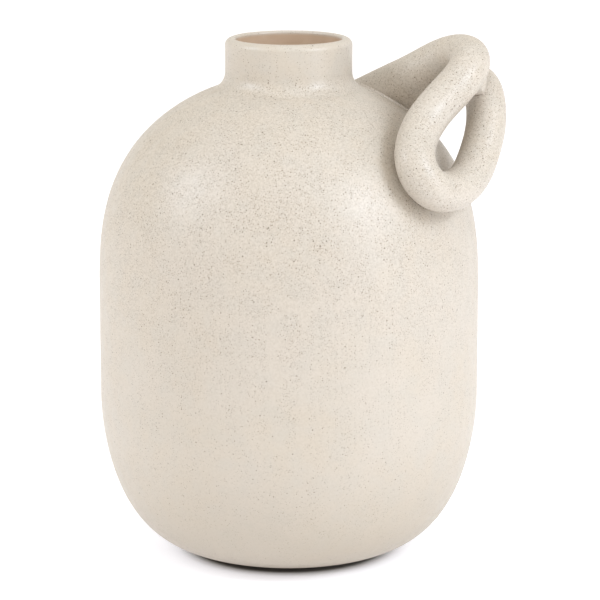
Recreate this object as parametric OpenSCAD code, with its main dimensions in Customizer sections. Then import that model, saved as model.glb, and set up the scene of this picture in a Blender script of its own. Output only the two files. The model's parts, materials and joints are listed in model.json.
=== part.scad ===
// A hand-built stoneware vase: a thrown body on a low foot ring, a short collar neck,
// and a handle made from one clay coil that loops over itself on the shoulder.
// Millimetres. The origin is the centre of the resting plane, +Z points up the vase's
// axis, and the handle stands towards +X.

/* [Body] */
// Largest outside diameter of the body
body_d = 262; // [254:1:270]
// Thickness of the thrown wall
body_wall = 7; // [5:0.5:9]
// Thickness of the body's floor
floor_t = 9; // [6:0.5:12]
// Thickness of the dome around the mouth
mouth_t = 10; // [8:0.5:12]
// Height at which the rounded base ends and the straight wall starts
belly_z = 112; // [104:1:120]
// Height at which the straight wall ends and the dome starts
shoulder_z = 179.5; // [170:0.5:186]
// Height of the dome's curve above the straight wall
dome_h = 153.3; // [146:0.1:160]

/* [Foot ring] */
// Outside diameter of the foot ring
foot_d = 124; // [96:1:130]
// Width of the foot ring
foot_w = 9; // [6:0.5:14]
// Height of the foot ring under the body
foot_h = 3; // [2:0.5:5]
// Chamfer on the edges that touch the table
foot_chamfer = 0.8; // [0.4:0.1:1]

/* [Neck] */
// Outside diameter of the neck
neck_d = 87; // [84:1:92]
// Thickness of the neck's wall
neck_wall = 7; // [5:0.5:8]
// Radius of the rim's inner edge, beside which the rim is highest
lip_inner_r = 2; // [1:0.5:3]
// Depth of the rim's broad outer rounding
lip_drop = 4.5; // [3:0.5:6]
// Height of the rim above the table
rim_z = 358; // [350:1:370]
// Radius of the hollow blend from the dome into the neck
neck_fillet = 12; // [6:0.5:14]

/* [Handle] */
// Diameter of the rolled clay coil
coil_d = 27.4; // [24:0.2:27.4]
// Radius of the slip that fills the joint where the coil passes itself
crossing_lute_r = 6.5; // [4:0.5:7]
// Radius of the slip that fills the joint under the resting loop
loop_lute_r = 6; // [4:0.5:7]

/* [Hidden] */

clay = [0.90, 0.86, 0.80];
bare_clay = [0.26, 0.19, 0.15];
slip = [0.86, 0.81, 0.74];

body_r = body_d / 2;
inner_r = body_r - body_wall;
foot_r = foot_d / 2;
neck_r = neck_d / 2;
bore_r = neck_r - neck_wall;
crest_r = bore_r + lip_inner_r;
coil_r = coil_d / 2;
// The body's mouth is a little wider than the neck's bore, so that the neck sits on a ledge.
mouth_r = bore_r + 1;

// Powers of the two superellipses that shape the body: [across, up].
dome_power = [1.9, 2.9];
base_power = [4.6, 1.8];
dome_steps = 26;
base_steps = 20;
arc_steps = 12;
round_fn = 256;
bisections = 30;

// A point of a superellipse quarter with half axes r and h, at an angle from its side.
function quarter(r, h, power, angle) =
    [r * pow(cos(angle), 2 / power[0]), h * pow(sin(angle), 2 / power[1])];
// The angles at which a quarter reaches a radius or a height.
function angle_at_radius(ratio, power) = acos(pow(ratio, power[0] / 2));
function angle_at_height(ratio, power) = asin(pow(ratio, power[1] / 2));

function dome_point(angle) = [0, shoulder_z] + quarter(body_r, dome_h, dome_power, angle);
function dome_normal(angle) =
    let (across = body_r * (2 / dome_power[0]) * pow(cos(angle), 2 / dome_power[0] - 1) * sin(angle),
         up = dome_h * (2 / dome_power[1]) * pow(sin(angle), 2 / dome_power[1] - 1) * cos(angle))
    [up, across] / norm([up, across]);

// The neck sits where its fillet arc is tangent to the dome.
function fillet_centre(angle) = dome_point(angle) + neck_fillet * dome_normal(angle);
function seat_angle(low = 30, high = 85, left = bisections) =
    let (middle = (low + high) / 2)
    left == 0 ? middle
    : fillet_centre(middle)[0] > neck_r + neck_fillet ? seat_angle(middle, high, left - 1)
    : seat_angle(low, middle, left - 1);
seat_a = seat_angle();
seat = dome_point(seat_a);
seat_n = dome_normal(seat_a);
fillet_c = fillet_centre(seat_a);

// Outside of the body from its underside up to the neck's seat.
base_a = angle_at_height(1 - foot_h / belly_z, base_power);
base_curve = [for (i = [0:base_steps])
    let (q = quarter(body_r, belly_z, base_power, base_a * (1 - i / base_steps)))
    [q[0], belly_z - q[1]]];
dome_curve = [for (i = [0:dome_steps]) dome_point(seat_a * pow(i / dome_steps, 1.5))];
// The blend from the dome, which then runs straight up into the neck.
fillet_from = atan2(-seat_n[1], -seat_n[0]);
fillet_curve = [for (i = [1:arc_steps])
    let (angle = fillet_from + (-180 - fillet_from) * i / arc_steps)
    fillet_c + neck_fillet * [cos(angle), sin(angle)]];
// The rim, from the outside up to its crest and down over the inner edge.
lip_outer_curve = [for (i = [0:arc_steps])
    let (angle = 90 * i / arc_steps)
    [crest_r + (neck_r - crest_r) * cos(angle), rim_z - lip_drop + lip_drop * sin(angle)]];
lip_inner_curve = [for (i = [1:arc_steps])
    let (angle = 90 + 90 * i / arc_steps)
    [crest_r + lip_inner_r * cos(angle), rim_z - lip_inner_r + lip_inner_r * sin(angle)]];

// Inside of the body, from the mouth down to the floor's centre.
inner_dome_h = dome_h - mouth_t;
inner_base_h = belly_z - foot_h - floor_t;
inner_mouth_a = angle_at_radius(mouth_r / inner_r, dome_power);
inner_dome_curve = [for (i = [dome_steps:-1:0])
    [0, shoulder_z] + quarter(inner_r, inner_dome_h, dome_power, inner_mouth_a * pow(i / dome_steps, 1.5))];
inner_base_curve = [for (i = [0:base_steps])
    let (q = quarter(inner_r, inner_base_h, base_power, 90 * i / base_steps))
    [q[0], belly_z - q[1]]];

// Control points of the coil's centre line, each with its radius: from inside the
// shoulder beside the neck, out and over the top bend, down across the front, round the
// loop that rests on the shoulder, up, behind the bend and back to the shoulder.
route = [
    [18, 50, 272, 32], [37, 42, 286, 30], [56, 34, 301, 26], [74, 26, 315, 22],
    [89, 11, 329, 18], [108, -4, 347, 14], [124, -26, 351, coil_r], [120, -45, 339, coil_r],
    [98, -55, 320, coil_r], [84, -72, 302, coil_r], [81, -95, 285, coil_r], [97, -93, 264, coil_r],
    [119, -67, 268, coil_r], [127, -48, 284, coil_r], [134, -34, 303, coil_r],
    [133, -18, 324, coil_r], [127, 9, 327, coil_r], [118, 32, 325, coil_r],
    [106, 52, 313, 14], [93, 65, 295, 16], [75, 70, 274, 19], [53, 66, 252, 22], [32, 56, 232, 24]];
span_steps = 5;
coil_sides = 24;
lute_sides = 16;
spans = len(route) - 3;

// A uniform cubic B-spline through the route: its value at a span and fraction.
function spline(i, t) =
    (pow(1 - t, 3) * route[i] + (3 * pow(t, 3) - 6 * pow(t, 2) + 4) * route[i + 1]
     + (-3 * pow(t, 3) + 3 * pow(t, 2) + 3 * t + 1) * route[i + 2] + pow(t, 3) * route[i + 3]) / 6;
function spline_at(s) = let (i = min(floor(s), spans - 1)) spline(i, s - i);
function centre_at(s) = let (p = spline_at(s)) [p[0], p[1], p[2]];

coil_rings = [for (k = [0:spans * span_steps]) spline_at(k / span_steps)];
// Where the flared roots end and the plain coil starts and stops, as ring numbers.
front_end = 4.4 * span_steps;
rear_start = 16 * span_steps;
last_ring = len(coil_rings) - 1;

// Unit directions along a chain of rings, and sideways vectors carried along it untwisted.
function unit(v) = v / norm(v);
function xyz(p) = [p[0], p[1], p[2]];
function tangents(rings) = [for (k = [0:len(rings) - 1])
    unit(xyz(rings[min(k + 1, len(rings) - 1)]) - xyz(rings[max(k - 1, 0)]))];
function square_to(v, t) = unit(v - (v * t) * t);
function sideways(ts) =
    [for (k = 0, v = square_to([0, 0, 1], ts[0]); k < len(ts);
          k = k + 1, v = square_to(v, ts[min(k, len(ts) - 1)])) v];

coil_t = tangents(coil_rings);
coil_n = sideways(coil_t);

// A closed tube along rings [x, y, z, radius] with directions t and sideways vectors n.
module tube(rings, t, n, sides) {
    points = [for (k = [0:len(rings) - 1], j = [0:sides - 1])
        let (angle = 360 * j / sides)
        xyz(rings[k]) + rings[k][3] * (cos(angle) * n[k] + sin(angle) * cross(t[k], n[k]))];
    last = len(rings) - 1;
    walls = [for (k = [0:last - 1], j = [0:sides - 1])
        let (a = k * sides + j, b = k * sides + (j + 1) % sides)
        each [[a, a + sides, b], [b, a + sides, b + sides]]];
    start_cap = [for (j = [0:sides - 1]) j];
    end_cap = [for (j = [sides - 1:-1:0]) last * sides + j];
    polyhedron(points, concat(walls, [start_cap, end_cap]));
}

// The coil between two ring numbers.
module coil_part(from, to) {
    tube([for (k = [from:to]) coil_rings[k]], [for (k = [from:to]) coil_t[k]],
        [for (k = [from:to]) coil_n[k]], coil_sides);
}

// The whole vessel's outer form, filled, which the clay joined onto it is fitted to.
module vessel_form() {
    outline = concat([[0, foot_h]], base_curve, dome_curve, fillet_curve,
        [[neck_r, rim_z - lip_drop], [0, rim_z - lip_drop]]);
    rotate_extrude($fn = round_fn) polygon(outline);
}

// The thrown body: one wall from the floor to the mouth.
module body() {
    outline = concat([[0, foot_h]], base_curve, dome_curve,
        [[mouth_r, seat[1]]], inner_dome_curve, inner_base_curve);
    color(clay) rotate_extrude($fn = round_fn) polygon(outline);
}

// The ring that the vase stands on, bare of glaze and fired dark.
module foot_ring() {
    inside = foot_r - foot_w;
    outline = [[inside, foot_h], [inside, foot_chamfer], [inside + foot_chamfer, 0],
        [foot_r - foot_chamfer, 0], [foot_r, foot_chamfer], [foot_r, foot_h]];
    color(bare_clay) rotate_extrude($fn = round_fn) polygon(outline);
}

// The collar neck, with its blend into the dome, a rim that falls outward and a straight bore.
module neck() {
    outline = concat([[bore_r, seat[1]], seat], fillet_curve, lip_outer_curve, lip_inner_curve);
    color(clay) rotate_extrude($fn = round_fn) polygon(outline);
}

// The flared start of the handle, pressed onto the shoulder beside the neck.
module handle_root_front() {
    color(clay) difference() {
        coil_part(0, front_end);
        vessel_form();
    }
}

// The plain coil between the two roots.
module handle_coil() {
    color(clay) coil_part(front_end, rear_start);
}

// The far end of the handle, which comes down behind the front root.
module handle_root_rear() {
    color(clay) difference() {
        coil_part(rear_start, last_ring);
        vessel_form();
    }
}

// Slip between the top bend and the rising side of the loop behind it. Each pair holds
// the two places along the route that lie closest there. The slip stands a little
// outward of the middle between them, so that it shows as a bead beside the bend.
crossing_lute_shift = [2.5, 0, 1];
module crossing_lute() {
    pairs = [[4.2, 14.6], [4.6, 14.4], [5, 14.2], [5.4, 14], [5.8, 13.8], [6.1, 13.7]];
    rings = [for (p = pairs)
        let (middle = (centre_at(p[0]) + centre_at(p[1])) / 2 + crossing_lute_shift)
        [middle[0], middle[1], middle[2], crossing_lute_r]];
    t = tangents(rings);
    color(slip) difference() {
        tube(rings, t, sideways(t), lute_sides);
        coil_part(3 * span_steps, 8 * span_steps);
        coil_part(12 * span_steps, 16 * span_steps);
    }
}

// The dome's outward direction near a point, from the gradient of its superellipse.
function outward(p) =
    let (across = norm([p[0], p[1]]),
         gr = dome_power[0] / body_r * pow(across / body_r, dome_power[0] - 1),
         gz = dome_power[1] / dome_h * pow((p[2] - shoulder_z) / dome_h, dome_power[1] - 1))
    unit([gr * p[0] / across, gr * p[1] / across, gz]);

// Slip in the crevice where the loop rests on the shoulder.
module loop_lute() {
    places = [for (s = [8.2:0.2:10]) centre_at(s)];
    rings = [for (p = places)
        let (touch = p - coil_r * outward(p))
        [touch[0], touch[1], touch[2], loop_lute_r]];
    t = tangents(rings);
    color(slip) difference() {
        tube(rings, t, sideways(t), lute_sides);
        coil_part(7 * span_steps, 11 * span_steps);
        vessel_form();
    }
}

body();
foot_ring();
neck();
handle_root_front();
handle_coil();
handle_root_rear();
crossing_lute();
loop_lute();
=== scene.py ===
"""A hand-built stoneware vase with a handle coiled from one roll of clay.

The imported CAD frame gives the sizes. Here every piece is built again as a fine mesh in the
same place, with the unevenness of thrown and rolled clay, and gets its speckled glaze.
"""
import json
import math

import bmesh
import bpy
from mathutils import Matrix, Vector, noise


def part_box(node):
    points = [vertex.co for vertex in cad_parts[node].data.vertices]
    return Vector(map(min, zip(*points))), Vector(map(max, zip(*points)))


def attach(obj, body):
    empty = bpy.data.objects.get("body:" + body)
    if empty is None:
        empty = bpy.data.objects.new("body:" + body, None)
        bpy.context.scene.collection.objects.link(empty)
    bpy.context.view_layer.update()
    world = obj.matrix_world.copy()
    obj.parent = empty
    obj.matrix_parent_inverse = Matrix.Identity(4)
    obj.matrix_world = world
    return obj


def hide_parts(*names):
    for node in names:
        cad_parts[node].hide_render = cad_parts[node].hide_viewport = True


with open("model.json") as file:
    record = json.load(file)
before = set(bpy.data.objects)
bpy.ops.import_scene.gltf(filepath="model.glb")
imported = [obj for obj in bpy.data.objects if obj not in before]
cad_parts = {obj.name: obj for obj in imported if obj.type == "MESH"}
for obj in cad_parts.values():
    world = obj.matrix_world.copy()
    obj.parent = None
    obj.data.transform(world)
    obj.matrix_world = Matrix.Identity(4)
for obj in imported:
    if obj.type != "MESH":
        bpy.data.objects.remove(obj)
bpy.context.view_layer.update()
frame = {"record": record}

MM = 0.001

# ---------------------------------------------------------------- sizes from the frame
body_top_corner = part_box("body")[1]
neck_low_corner, neck_top_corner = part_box("neck")
foot_top_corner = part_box("foot_ring")[1]
mounts = {mount["name"]: mount for mount in frame["record"]["mounts"]}

BODY_R = body_top_corner.x
RIM_Z = neck_top_corner.z
SEAT_R, SEAT_Z = neck_top_corner.x, neck_low_corner.z
BORE_R = mounts["neck_bore"]["dims"]["r_mm"] * MM
FOOT_R, FOOT_H = foot_top_corner.x, foot_top_corner.z

# ---------------------------------------------------------------- sizes shared with the CAD source
WALL = 7 * MM
FLOOR_T = 9 * MM
MOUTH_T = 10 * MM
BELLY_Z = 112 * MM
SHOULDER_Z = 179.5 * MM
DOME_H = 153.3 * MM
FOOT_W = 9 * MM
FOOT_EDGE_R = 1 * MM
NECK_FILLET = 12 * MM
COIL_MM = 13.7
COIL_R = COIL_MM * MM
# Powers of the outline's two superellipse quarters, across and up.
DOME_POWER = (1.9, 2.9)
BASE_POWER = (4.6, 1.8)
NECK_R = BORE_R + WALL
LIP_INNER_R = 2 * MM
LIP_DROP = 4.5 * MM
CREST_R = BORE_R + LIP_INNER_R
MOUTH_R = BORE_R + 1 * MM
INNER_R = BODY_R - WALL

# The coil's centre line: spline control points with the coil's radius, in millimetres. They
# run from inside the shoulder beside the neck, over the top bend, down across the front,
# round the loop that rests on the shoulder, up behind the bend and back inside. Most were
# solved by a fitting program and rounded, then moved by up to a few millimetres.
ROUTE = [
    (18, 50, 272, 32), (37, 42, 286, 30), (56, 34, 301, 26), (74, 26, 315, 22),
    (89, 11, 329, 18), (108, -4, 347, 14), (124, -26, 351, COIL_MM),
    (120, -45, 339, COIL_MM), (98, -55, 320, COIL_MM), (84, -72, 302, COIL_MM),
    (81, -95, 285, COIL_MM), (97, -93, 264, COIL_MM), (119, -67, 268, COIL_MM),
    (127, -48, 284, COIL_MM), (134, -34, 303, COIL_MM), (133, -18, 324, COIL_MM),
    (127, 9, 327, COIL_MM), (118, 32, 325, COIL_MM),
    (106, 52, 313, 14), (93, 65, 295, 16), (75, 70, 274, 19), (53, 66, 252, 22), (32, 56, 232, 24),
]
SPANS = len(ROUTE) - 3
# Where the flared roots end and the plain coil starts and stops, as places on the route.
FRONT_END, REAR_START = 4.4, 16

# ---------------------------------------------------------------- slip in the joints
BEAD = 1.8 * MM
# The two stretches of the route that the slip at the crossing runs between.
CROSSING_FRONT = (4.2, 6.25)
CROSSING_BACK = (14.6, 13.6)
CROSSING_LUTE_R = 5.4 * MM
CROSSING_SHIFT = Vector((1.2, 0, 0)) * MM
CROSSING_TAPER = 0.10
# The stretch of the route that rests on the shoulder.
RESTING = (8.3, 9.9)
LOOP_LUTE_R = 4.5 * MM
LOOP_TAPER = 0.3
LUTE_STEPS = 60

# ---------------------------------------------------------------- fineness and unevenness
LATHE_SIDES = 360
COIL_SIDES = 72
STEPS_PER_SPAN = 22
ROOT_STEPS = 90
SEARCH_STEPS, SEARCH_HALVINGS = 120, 24
# Above 1 the points of the dome crowd towards its side, and a root's towards the vessel.
DOME_CROWDING, ROOT_CROWDING = 1.5, 1.6
CREASE_DEGREES = 40
AXIS_R = 0.01 * MM
THROWN_DEPTH = 0.30 * MM
ROLLED_DEPTH = 0.45 * MM
THROWN_FADE = 20 * MM
# Scales of the unevenness, as waves to the metre.
RING_SCALE = Vector((5, 5, 75))
WAVE_SCALE = 14
ROLLED_SCALE = 38


# ================================================================ outlines of the thrown pieces
def smooth(x):
    """0 below 0, 1 above 1 and an S curve between."""
    x = min(max(x, 0), 1)
    return x * x * (3 - 2 * x)


def spread(start, end, steps):
    """The numbers from start to end in equal steps, both included."""
    return [start + (end - start) * i / steps for i in range(steps + 1)]


def quarter(radius, height, power, angle):
    """A point of a superellipse quarter, at an angle from its side."""
    across = radius * max(math.cos(angle), 0) ** (2 / power[0])
    up = height * max(math.sin(angle), 0) ** (2 / power[1])
    return across, up


def dome_point(angle):
    """(radius, height) on the dome, at an angle from its side."""
    across, up = quarter(BODY_R, DOME_H, DOME_POWER, angle)
    return across, SHOULDER_Z + up


def vessel_normal(radius, height):
    """The outward direction, as (across, up), of the dome at a radius and height on it."""
    across = DOME_POWER[0] / BODY_R * (radius / BODY_R) ** (DOME_POWER[0] - 1)
    up = DOME_POWER[1] / DOME_H * max((height - SHOULDER_Z) / DOME_H, 0) ** (DOME_POWER[1] - 1)
    length = math.hypot(across, up)
    return across / length, up / length


SEAT_A = math.acos((SEAT_R / BODY_R) ** (DOME_POWER[0] / 2))
SEAT_NORMAL = vessel_normal(SEAT_R, SEAT_Z)
FILLET_C = (NECK_R + NECK_FILLET, SEAT_Z + NECK_FILLET * SEAT_NORMAL[1])


def vessel_radius(height):
    """Outside radius of the body and neck at a height above the straight wall."""
    if height <= SHOULDER_Z:
        return BODY_R
    if height <= SEAT_Z:
        left = 1 - ((height - SHOULDER_Z) / DOME_H) ** DOME_POWER[1]
        return BODY_R * left ** (1 / DOME_POWER[0])
    if height <= FILLET_C[1]:
        return FILLET_C[0] - math.sqrt(NECK_FILLET ** 2 - (FILLET_C[1] - height) ** 2)
    return NECK_R


def vessel_surface(point):
    """(height of a point above the vessel's outside, the vessel's outward direction there)."""
    radius = math.hypot(point.x, point.y)
    if point.z > SEAT_Z:
        slope = max((FILLET_C[1] - point.z) / NECK_FILLET, 0)
        across, up = math.sqrt(max(1 - slope ** 2, 0)), slope
    else:
        across, up = vessel_normal(vessel_radius(point.z), point.z)
    normal = Vector((across * point.x / radius, across * point.y / radius, up))
    return (radius - vessel_radius(point.z)) * across, normal


def body_outline():
    """From the middle of the underside, up the outside to the mouth, and down the inside."""
    base_start = math.asin((1 - FOOT_H / BELLY_Z) ** (BASE_POWER[1] / 2))
    underside = [(0, FOOT_H)] + [(SEAT_R * share, FOOT_H) for share in spread(0.2, 1.2, 10)]
    base = []
    for angle in spread(base_start, 0, 90):
        across, up = quarter(BODY_R, BELLY_Z, BASE_POWER, angle)
        base.append((across, BELLY_Z - up))
    wall = [(BODY_R, z) for z in spread(BELLY_Z, SHOULDER_Z, 34)[1:-1]]
    dome = [dome_point(SEAT_A * share ** DOME_CROWDING) for share in spread(0, 1, 110)]
    ledge = [(MOUTH_R, SEAT_Z)]
    mouth_a = math.acos((MOUTH_R / INNER_R) ** (DOME_POWER[0] / 2))
    inside_dome = []
    for share in spread(1, 0, 60):
        angle = mouth_a * share ** DOME_CROWDING
        across, up = quarter(INNER_R, DOME_H - MOUTH_T, DOME_POWER, angle)
        inside_dome.append((across, SHOULDER_Z + up))
    inside_base = []
    for angle in spread(0, math.pi / 2, 60):
        across, up = quarter(INNER_R, BELLY_Z - FOOT_H - FLOOR_T, BASE_POWER, angle)
        inside_base.append((across, BELLY_Z - up))
    return underside + base + wall + dome + ledge + inside_dome + inside_base


def neck_outline():
    """Round the collar: seat, blend, outside, rim with its crest inward, and bore."""
    fillet_start = math.atan2(SEAT_NORMAL[1], SEAT_NORMAL[0]) + math.pi
    fillet = [(FILLET_C[0] + NECK_FILLET * math.cos(a), FILLET_C[1] + NECK_FILLET * math.sin(a))
              for a in spread(fillet_start, math.pi, 26)]
    wall = [(NECK_R, z) for z in spread(FILLET_C[1], RIM_Z - LIP_DROP, 20)[1:-1]]
    outer_lip = [(CREST_R + (NECK_R - CREST_R) * math.cos(a), RIM_Z - LIP_DROP * (1 - math.sin(a)))
                 for a in spread(0, math.pi / 2, 24)]
    inner_lip = [(CREST_R - LIP_INNER_R * math.sin(a), RIM_Z - LIP_INNER_R * (1 - math.cos(a)))
                 for a in spread(0, math.pi / 2, 12)[1:]]
    bore = [(BORE_R, z) for z in spread(RIM_Z - LIP_INNER_R, SEAT_Z, 30)[1:]]
    return fillet + wall + outer_lip + inner_lip + bore


def foot_outline():
    """Round the foot ring, with its two lower edges softened."""
    inside = FOOT_R - FOOT_W
    inner_edge = [(inside + FOOT_EDGE_R - FOOT_EDGE_R * math.cos(a),
                   FOOT_EDGE_R - FOOT_EDGE_R * math.sin(a)) for a in spread(0, math.pi / 2, 8)]
    outer_edge = [(FOOT_R - FOOT_EDGE_R + FOOT_EDGE_R * math.sin(a),
                   FOOT_EDGE_R - FOOT_EDGE_R * math.cos(a)) for a in spread(0, math.pi / 2, 8)]
    return [(inside, FOOT_H)] + inner_edge + outer_edge + [(FOOT_R, FOOT_H)]


# ================================================================ the coil's centre line
def spline_point(place):
    """Centre and radius of the coil at a place along its route, counted in spans."""
    i = min(int(place), SPANS - 1)
    t = place - i
    weights = ((1 - t) ** 3, 3 * t ** 3 - 6 * t ** 2 + 4,
               -3 * t ** 3 + 3 * t ** 2 + 3 * t + 1, t ** 3)
    x, y, z, radius = (sum(w * ROUTE[i + k][axis] for k, w in enumerate(weights)) / 6 * MM
                       for axis in range(4))
    return Vector((x, y, z)), radius


def spline_direction(place):
    """Unit direction of the coil's centre line at a place."""
    nudge = 0.001
    ahead = spline_point(min(place + nudge, SPANS))[0]
    behind = spline_point(max(place - nudge, 0))[0]
    return (ahead - behind).normalized()


def square_to(vector, direction):
    """The unit part of a vector that is square to a direction."""
    return (vector - vector.dot(direction) * direction).normalized()


def carry_sideways(directions):
    """Sideways vectors carried along a chain of directions without twisting."""
    sideways = [square_to(Vector((0, 0, 1)), directions[0])]
    for direction in directions[1:]:
        sideways.append(square_to(sideways[-1], direction))
    return sideways


SIDEWAYS = carry_sideways([spline_direction(k / STEPS_PER_SPAN)
                           for k in range(SPANS * STEPS_PER_SPAN + 1)])


def coil_point(place, angle):
    """(point on the rolled coil's surface, outward direction there)."""
    centre, radius = spline_point(place)
    direction = spline_direction(place)
    before = min(int(place * STEPS_PER_SPAN), len(SIDEWAYS) - 2)
    mixed = SIDEWAYS[before].lerp(SIDEWAYS[before + 1], place * STEPS_PER_SPAN - before)
    sideways = square_to(mixed, direction)
    outward = math.cos(angle) * sideways + math.sin(angle) * direction.cross(sideways)
    uneven = ROLLED_DEPTH * (0.5 + 0.5 * noise.noise((centre + radius * outward) * ROLLED_SCALE))
    return centre + (radius - uneven) * outward, outward


# ================================================================ meshes
def ring_faces(first, second):
    """Quads between two rings of vertex numbers, or triangles where one is a single point."""
    faces = []
    sides = max(len(first), len(second))
    for j in range(sides):
        k = (j + 1) % sides
        corners = (first[j % len(first)], first[k % len(first)],
                   second[k % len(second)], second[j % len(second)])
        faces.append(tuple(dict.fromkeys(corners)))
    return faces


def joined_rings(rings, closed):
    """Vertices and faces of a skin over rings of points, closed round or left open."""
    vertices = [point for ring in rings for point in ring]
    numbers = []
    for ring in rings:
        start = numbers[-1][-1] + 1 if numbers else 0
        numbers.append(range(start, start + len(ring)))
    following = numbers[1:] + numbers[:1] if closed else numbers[1:]
    faces = [face for a, b in zip(numbers, following) for face in ring_faces(a, b)]
    return vertices, faces


def thrown(point):
    """Draws a point of the thrown clay in a little: rings left by the fingers, broad waves.

    The unevenness fades out at the neck's seat and at the table, where pieces meet.
    """
    fade = smooth(abs(point.z - SEAT_Z) / THROWN_FADE) * smooth(point.z / THROWN_FADE)
    radius = math.hypot(point.x, point.y)
    if radius < 1 * MM or fade == 0:
        return point
    rings = noise.noise(point * RING_SCALE)
    waves = noise.noise(point * WAVE_SCALE)
    depth = THROWN_DEPTH * fade * (0.5 + 0.2 * rings + 0.3 * waves)
    shrink = 1 - depth / radius
    return Vector((point.x * shrink, point.y * shrink, point.z))


def lathe(outline, closed):
    """A solid turned from (radius, height) points about the vase's axis."""
    turns = [2 * math.pi * j / LATHE_SIDES for j in range(LATHE_SIDES)]
    rings = [[Vector((0, 0, z))] if radius < AXIS_R else
             [thrown(Vector((radius * math.cos(a), radius * math.sin(a), z))) for a in turns]
             for radius, z in outline]
    return joined_rings(rings, closed)


def add_piece(name, shape, node, materials):
    """Makes a piece that stands for a CAD node, smooth but for its creases."""
    vertices, faces = shape
    mesh = bpy.data.meshes.new(name)
    mesh.from_pydata(vertices, [], faces)
    work = bmesh.new()
    work.from_mesh(mesh)
    bmesh.ops.recalc_face_normals(work, faces=work.faces)
    work.to_mesh(mesh)
    work.free()
    mesh.shade_smooth()
    mesh.set_sharp_from_angle(angle=math.radians(CREASE_DEGREES))
    for material in materials:
        mesh.materials.append(material)
    piece = bpy.data.objects.new(name, mesh)
    bpy.context.scene.collection.objects.link(piece)
    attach(piece, "root")
    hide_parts(node)
    return piece


TURNS = [2 * math.pi * j / COIL_SIDES for j in range(COIL_SIDES)]


def coil_shape():
    """The plain coil between the two roots, closed at both ends."""
    steps = round((REAR_START - FRONT_END) * STEPS_PER_SPAN)
    rings = [[coil_point(place, angle)[0] for angle in TURNS]
             for place in spread(FRONT_END, REAR_START, steps)]
    starts = [[spline_point(FRONT_END)[0]], [spline_point(REAR_START)[0]]]
    return joined_rings([starts[0]] + rings + [starts[1]], False)


def leaving_place(angle, inside, outside):
    """The place at which a line along the coil comes out of the vessel."""
    for place in spread(outside, inside, SEARCH_STEPS):
        if vessel_surface(coil_point(place, angle)[0])[0] < 0:
            break
    hidden, shown = place, place + (outside - inside) / SEARCH_STEPS
    for _ in range(SEARCH_HALVINGS):
        middle = (hidden + shown) / 2
        if vessel_surface(coil_point(middle, angle)[0])[0] < 0:
            hidden = middle
        else:
            shown = middle
    return shown


def bead_section():
    """The luting bead round a root, cut across: (distance out along the vessel, height above it).

    Both are shares of the bead's size. The section ends deep in the clay of the root.
    """
    arch = [(0.25 + 0.85 * (1 - math.cos(a)), 0.62 * math.sin(a)) for a in spread(0.3, math.pi, 8)]
    return [(0.15, -0.1)] + arch + [(2.2, -0.5), (0, -3.5)]


def root_shape(inside, outside):
    """A flared end of the coil, from its plain ring down to a luting bead on the vessel."""
    leaving = [leaving_place(angle, inside, outside) for angle in TURNS]
    rings = [[spline_point(outside)[0]]]
    for share in spread(0, 1, ROOT_STEPS):
        eased = 1 - (1 - share) ** ROOT_CROWDING
        rings.append([coil_point(outside + (place - outside) * eased, angle)[0]
                      for place, angle in zip(leaving, TURNS)])
    feet = [coil_point(place, angle) for place, angle in zip(leaving, TURNS)]
    for out, height in bead_section():
        ring = []
        for point, outward in feet:
            normal = vessel_surface(point)[1]
            moved = point + out * BEAD * square_to(outward, normal)
            ring.append(moved + (height * BEAD - vessel_surface(moved)[0]) * normal)
        rings.append(ring)
    rings.append([sum(rings[-1], Vector()) / COIL_SIDES])
    return joined_rings(rings, False)


def lute_shape(centres, radius, taper):
    """A roll of slip along some points, thin over a share of its length at both ends."""
    last = len(centres) - 1
    directions = [(centres[min(k + 1, last)] - centres[max(k - 1, 0)]).normalized()
                  for k in range(last + 1)]
    rings = [[centres[0]]]
    for k, (centre, direction, side) in enumerate(
            zip(centres, directions, carry_sideways(directions))):
        thickness = radius * (0.25 + 0.75 * smooth(min(k, last - k) / (taper * last)))
        rings.append([centre + thickness * (math.cos(a) * side
                                            + math.sin(a) * direction.cross(side))
                      for a in TURNS])
    rings.append([centres[-1]])
    return joined_rings(rings, False)


def crossing_lute_shape():
    """Slip between the top bend and the rising side of the loop behind it."""
    centres = []
    for front, back in zip(spread(*CROSSING_FRONT, LUTE_STEPS), spread(*CROSSING_BACK, LUTE_STEPS)):
        middle = (spline_point(front)[0] + spline_point(back)[0]) / 2
        centres.append(middle + CROSSING_SHIFT)
    return lute_shape(centres, CROSSING_LUTE_R, CROSSING_TAPER)


def loop_lute_shape():
    """Slip in the crevice where the loop rests on the shoulder."""
    centres = []
    for place in spread(*RESTING, LUTE_STEPS):
        centre = spline_point(place)[0]
        centres.append(centre - COIL_R * vessel_surface(centre)[1])
    return lute_shape(centres, LOOP_LUTE_R, LOOP_TAPER)


# ================================================================ materials
# Numbers of the Mix node's colour sockets, which share their names with its other types.
MIX_FIRST, MIX_SECOND, MIX_RESULT = 6, 7, 2


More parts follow.
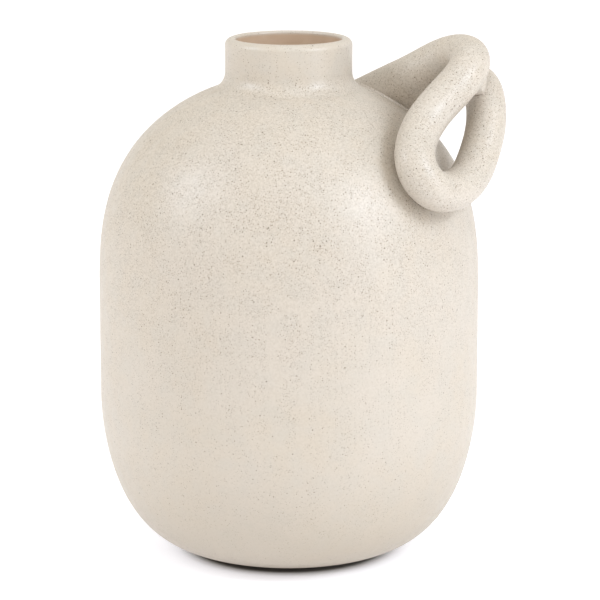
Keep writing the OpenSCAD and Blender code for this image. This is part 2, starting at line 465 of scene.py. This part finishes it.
class Shader:
    """Builds one material's nodes."""

    def __init__(self, name):
        self.material = bpy.data.materials.new(name)
        self.material.use_nodes = True
        self.tree = self.material.node_tree
        self.surface = self.tree.nodes["Principled BSDF"]

    def node(self, kind, settings=None, **inputs):
        """Adds a node; inputs are values or other nodes' outputs, named as on the node."""
        new = self.tree.nodes.new("ShaderNode" + kind)
        for key, value in (settings or {}).items():
            setattr(new, key, value)
        for key, value in inputs.items():
            self.feed(new.inputs[key.replace("_", " ")], value)
        return new

    def feed(self, socket, value):
        """Links another node's output to a socket, or sets the socket to a value."""
        if isinstance(value, bpy.types.NodeSocket):
            self.tree.links.new(value, socket)
        else:
            socket.default_value = value

    def place(self):
        """The point on the object, in metres from the shared origin."""
        return self.node("TexCoord").outputs["Object"]

    def math(self, operation, first, second):
        new = self.node("Math", {"operation": operation})
        self.feed(new.inputs[0], first)
        self.feed(new.inputs[1], second)
        return new.outputs[0]

    def remap(self, value, low, high, to_low=0.0, to_high=1.0):
        """Carries value from low..high to to_low..to_high along a smooth step."""
        new = self.node("MapRange", {"interpolation_type": "SMOOTHSTEP"}, Value=value)
        for key, number in (("From Min", low), ("From Max", high),
                            ("To Min", to_low), ("To Max", to_high)):
            self.feed(new.inputs[key], number)
        return new.outputs[0]

    def noise(self, size, detail=2.0, roughness=0.5):
        """Fractal noise from 0 to 1 whose blotches are about size metres across."""
        return self.node("TexNoise", Vector=self.place(), Scale=1 / size, Detail=detail,
                         Roughness=roughness).outputs[0]

    def mix(self, share, first, second):
        """The first colour at share 0, the second at share 1."""
        new = self.node("Mix", {"data_type": "RGBA"})
        self.feed(new.inputs["Factor"], share)
        self.feed(new.inputs[MIX_FIRST], first)
        self.feed(new.inputs[MIX_SECOND], second)
        return new.outputs[MIX_RESULT]

    def flecks(self, cell, radius, keep):
        """1 inside round flecks: one to a cell, of mixed size, where keep picks the cell."""
        voronoi = self.node("TexVoronoi", Vector=self.place(), Scale=1 / cell)
        chance = self.node("SeparateColor", Color=voronoi.outputs["Color"])
        size = self.remap(chance.outputs[0], 0.0, 1.0, 0.55 * radius / cell, radius / cell)
        edge = self.math("MULTIPLY", size, 0.6)
        inside = self.remap(voronoi.outputs["Distance"], edge, size, 1.0, 0.0)
        kept = self.math("LESS_THAN", chance.outputs[1], keep)
        return self.math("MULTIPLY", inside, kept)

    def bump(self, height, depth, below=None):
        """A bump of that depth in metres, on top of another bump's normal."""
        new = self.node("Bump", Height=height, Strength=1.0, Distance=depth)
        if below is not None:
            self.feed(new.inputs["Normal"], below)
        return new.outputs[0]

    def finish(self, **inputs):
        """Feeds the surface's own sockets, named as on the node."""
        for key, value in inputs.items():
            self.feed(self.surface.inputs[key.replace("_", " ")], value)
        return self.material


def colour(red, green, blue):
    return red, green, blue, 1.0


CREAM = colour(0.515, 0.457, 0.388)
CREAM_WARM = colour(0.507, 0.444, 0.366)
CREAM_COOL = colour(0.484, 0.441, 0.381)
# Painted shade: the darker tone that the glaze takes on towards the foot.
PAINTED_FOOT_SHADE = colour(0.375, 0.320, 0.245)
PALE = colour(0.600, 0.538, 0.468)
FAINT = colour(0.370, 0.300, 0.230)
RUST = colour(0.195, 0.140, 0.095)
IRON = colour(0.110, 0.080, 0.052)
LINER = colour(0.570, 0.420, 0.300)
LINER_DARK = colour(0.500, 0.355, 0.245)
# The unglazed clay's tones, near black: real bare clay darkened as painted shade for the gap under
# the vase.
BARE_CLAY_PAINTED_DARK = colour(0.060, 0.040, 0.028)
BARE_CLAY_PAINTED_DARKER = colour(0.028, 0.018, 0.013)

# The iron flecks: (one to a cell of this size, radius, strength, colour), in millimetres.
FINE_FLECKS = [(0.95, 0.32, 0.74, RUST), (1.3, 0.38, 0.80, RUST)]
BIG_FLECKS = [(1.9, 0.46, 0.82, IRON), (4.2, 0.62, 0.85, IRON)]


def glaze_colour(shader, amount, strong):
    """Cream glaze, finely mottled, with iron flecks of four sizes, and where its pits are.

    Amount is how much of the fine speckle shows, and strong how many of the bigger flecks.
    """
    broad = shader.remap(shader.noise(70 * MM), 0.35, 0.65)
    cloudy = shader.remap(shader.noise(14 * MM, detail=3.0), 0.35, 0.68)
    tone = shader.mix(broad, CREAM, CREAM_WARM)
    tone = shader.mix(shader.math("MULTIPLY", cloudy, 0.55), tone, CREAM_COOL)
    grain = shader.noise(1.3 * MM, detail=3.0)
    pale = shader.math("MULTIPLY", shader.remap(grain, 0.36, 0.52, 0.27, 0.0), amount)
    dark = shader.math("MULTIPLY", shader.remap(grain, 0.48, 0.68, 0.0, 0.24), amount)
    tone = shader.mix(pale, tone, PALE)
    tone = shader.mix(dark, tone, FAINT)
    patchy = shader.remap(shader.noise(16 * MM, detail=3.0), 0.34, 0.62, 0.25, 1.0)
    pits = 0.0
    for share, group in ((amount, FINE_FLECKS), (strong, BIG_FLECKS)):
        keep = shader.math("MULTIPLY", patchy, share)
        for cell, radius, strength, iron in group:
            dots = shader.flecks(cell * MM, radius * MM, keep)
            tone = shader.mix(shader.math("MULTIPLY", dots, strength), tone, iron)
            if group is BIG_FLECKS:
                pits = shader.math("MAXIMUM", dots, pits)
    return tone, pits


def satin(shader, tone, pits, roughness):
    """Finishes a satin glaze: soft gloss, a faint waviness and a pit at each fleck."""
    wavy = shader.bump(shader.noise(9 * MM, detail=2.0), 0.10 * MM)
    skin = shader.bump(shader.noise(0.9 * MM, detail=2.0), 0.035 * MM, wavy)
    pitted = shader.bump(shader.math("MULTIPLY", pits, -1.0), 0.06 * MM, skin)
    uneven = shader.remap(shader.noise(5 * MM, detail=3.0), 0.3, 0.7,
                          roughness - 0.04, roughness + 0.05)
    rough = shader.math("ADD", uneven, shader.math("MULTIPLY", pits, 0.25))
    return shader.finish(Base_Color=tone, Roughness=rough, Normal=pitted, IOR=1.5)


def speckled_glaze():
    """The satin glaze of the body and handle, plainer towards the foot and darkened there by
    painted shade.
    """
    shader = Shader("speckled_glaze")
    height = shader.node("SeparateXYZ", Vector=shader.place()).outputs["Z"]
    amount = shader.remap(height, 90 * MM, 310 * MM, 0.50, 1.45)
    strong = shader.remap(height, 140 * MM, 310 * MM, 0.20, 1.45)
    tone, pits = glaze_colour(shader, amount, strong)
    # Painted shade: darker towards the foot.
    tone = shader.mix(shader.remap(height, 0.0, 100 * MM, 0.62, 0.0), tone, PAINTED_FOOT_SHADE)
    return satin(shader, tone, pits, 0.40)


def liner_tone(shader, low, high):
    """The tan of the inside, faintly streaked from one share of its dark tone to another."""
    streaks = shader.remap(shader.noise(11 * MM, detail=3.0), 0.3, 0.7, low, high)
    return shader.mix(streaks, LINER, LINER_DARK)


def neck_glaze():
    """The body's glaze on the collar: flecks thin out upward, and the bore is glossier tan."""
    shader = Shader("neck_glaze")
    place = shader.node("SeparateXYZ", Vector=shader.place())
    height = place.outputs["Z"]
    squares = [shader.math("POWER", place.outputs[axis], 2.0) for axis in "XY"]
    radius = shader.math("SQRT", shader.math("ADD", *squares), 0.0)
    amount = shader.remap(height, SEAT_Z, SEAT_Z + 18 * MM, 1.5, 0.42)
    strong = shader.remap(height, SEAT_Z, SEAT_Z + 16 * MM, 1.5, 0.14)
    tone, pits = glaze_colour(shader, amount, strong)
    near_bore = shader.remap(radius, BORE_R + 0.3 * MM, BORE_R + 2.6 * MM, 1.0, 0.0)
    below_rim = shader.remap(height, RIM_Z - 3.5 * MM, RIM_Z - 0.5 * MM, 1.0, 0.0)
    inside = shader.math("MULTIPLY", near_bore, below_rim)
    tone = shader.mix(inside, tone, liner_tone(shader, 0.2, 0.8))
    pits = shader.math("MULTIPLY", pits, shader.math("SUBTRACT", 1.0, inside))
    return satin(shader, tone, pits, 0.38)


def liner_glaze():
    """The glossier tan glaze poured round the inside."""
    shader = Shader("liner_glaze")
    return satin(shader, liner_tone(shader, 0.0, 1.0), shader.flecks(4.0 * MM, 0.6 * MM, 0.7), 0.26)


def bare_stoneware():
    """Unglazed clay, wiped clean: gritty and matt, darker in its pores, and painted near black as
    shade for the dark gap under the vase.
    """
    shader = Shader("bare_stoneware")
    toasted = shader.remap(shader.noise(12 * MM, detail=4.0), 0.3, 0.7)
    grit = shader.noise(0.8 * MM, detail=4.0, roughness=0.7)
    # The near-black tones are painted shade on the unglazed clay.
    tone = shader.mix(toasted, BARE_CLAY_PAINTED_DARK, BARE_CLAY_PAINTED_DARKER)
    tone = shader.mix(shader.remap(grit, 0.55, 0.75, 0.0, 0.5), tone, IRON)
    rough = shader.remap(grit, 0.3, 0.7, 0.78, 0.95)
    return shader.finish(Base_Color=tone, Roughness=rough,
                         Normal=shader.bump(grit, 0.25 * MM), IOR=1.45)


def joining_slip():
    """Slip wiped into a joint, under the same glaze but with fewer flecks."""
    shader = Shader("joining_slip")
    tone, pits = glaze_colour(shader, 0.5, 0.3)
    return satin(shader, tone, pits, 0.36)


# ================================================================ the vase
# The body's material slots, in the order that they are given to it.
GLAZE_SLOT, LINER_SLOT, BARE_SLOT = range(3)


def body_slot(face):
    """The slot of a face: bare clay within the foot, the liner inside, the glaze elsewhere."""
    middle = face.center
    reach = math.hypot(middle.x, middle.y)
    if middle.z < FOOT_H + 0.5 * MM and reach < FOOT_R + 2 * MM:
        return BARE_SLOT
    from_centre = Vector((middle.x, middle.y, middle.z - SHOULDER_Z))
    return LINER_SLOT if face.normal.dot(from_centre) < 0 else GLAZE_SLOT


def build_vase():
    """The eight pieces, each with the material of its part of the pot."""
    glaze = speckled_glaze()
    liner = liner_glaze()
    bare_painted_dark = bare_stoneware()
    body = add_piece("thrown_body", lathe(body_outline(), False), "body",
                     [glaze, liner, bare_painted_dark])
    for face in body.data.polygons:
        face.material_index = body_slot(face)
    add_piece("collar_neck", lathe(neck_outline(), True), "neck", [neck_glaze()])
    add_piece("turned_foot", lathe(foot_outline(), True), "foot_ring", [bare_painted_dark])
    add_piece("front_root", root_shape(0, FRONT_END), "handle_root_front",
              [glaze])
    add_piece("looped_coil", coil_shape(), "handle_coil", [glaze])
    add_piece("rear_root", root_shape(SPANS, REAR_START), "handle_root_rear",
              [glaze])
    slip = joining_slip()
    add_piece("crossing_slip", crossing_lute_shape(), "crossing_lute", [slip])
    add_piece("resting_slip", loop_lute_shape(), "loop_lute", [slip])


# ================================================================ the studio
TARGET = Vector((7.7 * MM, 0, 175.3 * MM))
CAMERA_LENS, CAMERA_SENSOR = 177.5, 36
CAMERA_ELEVATION = 12.4
CAMERA_DISTANCE = 2.05

# Softboxes: (name, azimuth, elevation, side in metres, power in watts).
SOFTBOXES = [
    ("softbox_left", -74, 35, 0.7, 7.8),
    ("softbox_right", 54, 35, 0.5, 10.2),
    ("softbox_low", 54, 8, 0.5, 2.5),
    ("softbox_top", 10, 70, 1.0, 3.4),
]
SOFTBOX_DISTANCE = 1.5
SOFTBOX_COLOUR = (0.86, 0.955, 1.10)

FLOOR_HALF = 8
# Where the floor's painted shadow fades from dark to pale, and where its painted glow starts, as
# distances from the axis.
FLOOR_SHADOW_FADE = (FOOT_R + 4 * MM, FOOT_R + 10 * MM)
FLOOR_LIT = (FOOT_R + 5 * MM, FOOT_R + 19 * MM)
FLOOR_TONE = colour(0.80, 0.80, 0.80)
# Painted shadow: the floor's dark colour just round the foot.
FLOOR_PAINTED_SHADOW = colour(0.22, 0.20, 0.19)
FLOOR_GLOW = colour(1.0, 1.0, 1.1)

EYE_LEVEL_SKY = colour(1.06, 1.06, 1.06)
HIGH_SKY = colour(0.880, 0.840, 0.755)
# The upward part of the view direction at which the first sky ends and the second is reached.
SKY_BLEND = (0.08, 0.16)


def around(azimuth, elevation, distance):
    """A place round the target: azimuth 0 is the front, 90 the right, in degrees."""
    turn, lift = math.radians(azimuth), math.radians(elevation)
    return TARGET + distance * Vector((math.sin(turn) * math.cos(lift),
                                       -math.cos(turn) * math.cos(lift), math.sin(lift)))


def add_camera():
    data = bpy.data.cameras.new("camera")
    data.lens = CAMERA_LENS
    data.sensor_width = CAMERA_SENSOR
    camera = bpy.data.objects.new("camera", data)
    camera.location = around(0, CAMERA_ELEVATION, CAMERA_DISTANCE)
    camera.rotation_euler = (TARGET - camera.location).to_track_quat("-Z", "Y").to_euler()
    bpy.context.scene.collection.objects.link(camera)
    bpy.context.scene.camera = camera


def add_softbox(name, azimuth, elevation, side, power):
    """A square soft light that faces the vase."""
    data = bpy.data.lights.new(name, "AREA")
    data.shape = "RECTANGLE"
    data.size, data.size_y = side, side
    data.energy = power
    data.color = SOFTBOX_COLOUR
    light = bpy.data.objects.new(name, data)
    light.location = around(azimuth, elevation, SOFTBOX_DISTANCE)
    light.rotation_euler = (TARGET - light.location).to_track_quat("-Z", "Y").to_euler()
    bpy.context.scene.collection.objects.link(light)


def add_floor():
    """A wide pale floor with a painted shadow just under the vase and a painted glow a little
    beyond it.
    """
    mesh = bpy.data.meshes.new("floor")
    corners = [(FLOOR_HALF * x, FLOOR_HALF * y, 0) for x, y in ((-1, -1), (1, -1), (1, 1), (-1, 1))]
    mesh.from_pydata(corners, [], [(0, 1, 2, 3)])
    shader = Shader("floor_paper")
    away = shader.node("VectorMath", {"operation": "LENGTH"}, Vector=shader.place())
    # Painted light: the floor glows, more strongly away from the foot.
    glow = shader.remap(away.outputs["Value"], *FLOOR_LIT, 0.0, 0.40)
    pale = shader.remap(away.outputs["Value"], *FLOOR_SHADOW_FADE)
    # Painted shadow: dark near the foot, pale beyond.
    tone = shader.mix(pale, FLOOR_PAINTED_SHADOW, FLOOR_TONE)
    shader.finish(Base_Color=tone, Roughness=0.9, Emission_Color=FLOOR_GLOW, Emission_Strength=glow)
    mesh.materials.append(shader.material)
    floor = bpy.data.objects.new("floor", mesh)
    bpy.context.scene.collection.objects.link(floor)


def add_world():
    """Warm even light from above, and white at eye level, so that a low view has no horizon."""
    world = bpy.data.worlds.new("studio")
    world.use_nodes = True
    tree = world.node_tree
    direction = tree.nodes.new("ShaderNodeTexCoord")
    parts = tree.nodes.new("ShaderNodeSeparateXYZ")
    above = tree.nodes.new("ShaderNodeMapRange")
    above.inputs["From Min"].default_value, above.inputs["From Max"].default_value = SKY_BLEND
    sky = tree.nodes.new("ShaderNodeMix")
    sky.data_type = "RGBA"
    sky.inputs[MIX_FIRST].default_value = EYE_LEVEL_SKY
    sky.inputs[MIX_SECOND].default_value = HIGH_SKY
    background = tree.nodes["Background"]
    tree.links.new(direction.outputs["Generated"], parts.inputs["Vector"])
    tree.links.new(parts.outputs["Z"], above.inputs["Value"])
    tree.links.new(above.outputs["Result"], sky.inputs["Factor"])
    tree.links.new(sky.outputs[MIX_RESULT], background.inputs["Color"])
    scene = bpy.context.scene
    scene.world = world
    scene.view_settings.view_transform = "Standard"


add_camera()
add_world()
add_floor()
for softbox in SOFTBOXES:
    add_softbox(*softbox)
build_vase()
